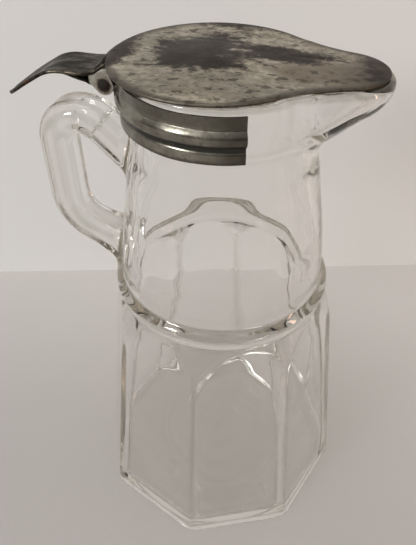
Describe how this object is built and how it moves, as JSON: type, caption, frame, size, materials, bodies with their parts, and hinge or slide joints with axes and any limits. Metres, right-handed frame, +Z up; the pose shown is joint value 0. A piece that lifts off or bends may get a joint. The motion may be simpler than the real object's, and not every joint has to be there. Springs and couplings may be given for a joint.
{
  "type": "hinged-lid glass pitcher",
  "caption": "Clear moulded glass oil or syrup pitcher with a panelled base, loop handle, pouring lip and a sprung metal collar that carries a thumb-lever lid.",
  "frame": {"origin": "centre of the flat underside of the glass base, on the table", "axes": "+Z up the middle of the pitcher, +X towards the pouring spout, the handle and thumb lever at -X"},
  "size_m": [0.0931, 0.0814, 0.14],
  "materials": {
    "clear_glass": "clear moulded glass, smooth, slightly wavy",
    "collar_metal": "worn tinned sheet, satin with dull patches",
    "lid_metal": "tarnished tinned sheet, mottled brown and dark grey",
    "rusted_iron": "rusted iron rivet"
  },
  "bodies": {
    "pitcher": {"glass_body": "clear_glass", "collar_band": "collar_metal", "hinge_leaf": "collar_metal"},
    "lid": {"hinge_pin": "rusted_iron", "hinge_bracket": "lid_metal", "thumb_lever": "lid_metal", "lid_plate": "lid_metal"}
  },
  "joints": [
    {"name": "lid_hinge", "type": "hinge", "parent": "pitcher", "child": "lid", "pos_m": [-0.0264, 0, 0.1329], "axis": [0, -1, 0], "range_deg": [0, 20]}
  ]
}
